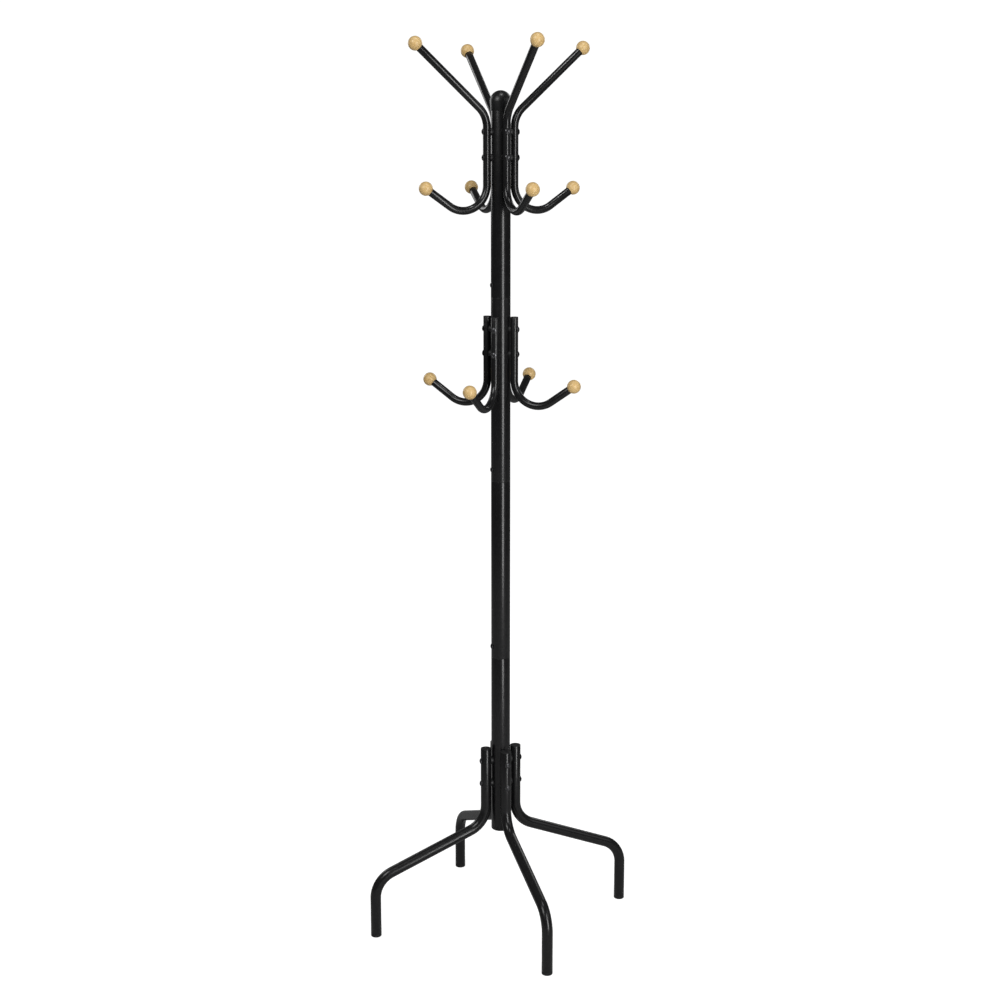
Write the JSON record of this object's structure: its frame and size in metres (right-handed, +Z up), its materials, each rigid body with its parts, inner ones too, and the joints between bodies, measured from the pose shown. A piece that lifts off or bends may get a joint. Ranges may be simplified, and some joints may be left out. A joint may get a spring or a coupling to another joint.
{
  "type": "standing coat rack",
  "caption": "Free-standing coat rack: a jointed black steel pole on bent tube legs, with two rings of bent tube hooks tipped with wooden balls.",
  "frame": {"origin": "on the floor, on the pole's axis, at the bottom centre of the bounding box", "axes": "+Z up along the pole; the double-ended hooks lie in the XZ and YZ planes and the single hooks on the diagonals between them"},
  "size_m": [0.5568, 0.5568, 1.7675],
  "materials": {
    "coated_steel": "semi-gloss black powder coat on steel tube",
    "gloss_cap": "glossy black moulded plastic",
    "black_plastic": "satin black moulded plastic",
    "black_screw": "black oxide on steel screws, bright where the tool has rubbed",
    "zinc_steel": "zinc-plated steel",
    "wood": "clear-lacquered light wood"
  },
  "bodies": {
    "root": {"pole_base": "coated_steel", "pole_lower": "coated_steel", "pole_upper": "coated_steel", "pole_top": "coated_steel", "joint_sleeve_1": "zinc_steel", "joint_sleeve_2": "zinc_steel", "joint_sleeve_3": "zinc_steel", "pole_cap": "gloss_cap", "pole_plug": "black_plastic", "upper_hook_1": "coated_steel", "upper_hook_2": "coated_steel", "upper_hook_3": "coated_steel", "upper_hook_4": "coated_steel", "lower_hook_1": "coated_steel", "lower_hook_2": "coated_steel", "lower_hook_3": "coated_steel", "lower_hook_4": "coated_steel", "leg_1": "coated_steel", "leg_2": "coated_steel", "leg_3": "coated_steel", "leg_4": "coated_steel", "ball_top_1": "wood", "ball_top_2": "wood", "ball_top_3": "wood", "ball_top_4": "wood", "ball_mid_1": "wood", "ball_mid_2": "wood", "ball_mid_3": "wood", "ball_mid_4": "wood", "ball_low_1": "wood", "ball_low_2": "wood", "ball_low_3": "wood", "ball_low_4": "wood", "lower_hook_plug_1": "black_plastic", "lower_hook_plug_2": "black_plastic", "lower_hook_plug_3": "black_plastic", "lower_hook_plug_4": "black_plastic", "leg_plug_1": "black_plastic", "leg_plug_2": "black_plastic", "leg_plug_3": "black_plastic", "leg_plug_4": "black_plastic", "foot_cap_1": "black_plastic", "foot_cap_2": "black_plastic", "foot_cap_3": "black_plastic", "foot_cap_4": "black_plastic", "upper_hook_spacers": "black_plastic", "lower_hook_spacers": "black_plastic", "leg_spacers": "black_plastic", "upper_hook_screws": "black_screw", "lower_hook_screws": "black_screw", "leg_screws": "black_screw", "joint_screws": "black_screw", "upper_hook_inserts": "zinc_steel", "lower_hook_inserts": "zinc_steel", "leg_inserts": "zinc_steel", "joint_nuts": "zinc_steel"}
  },
  "joints": []
}
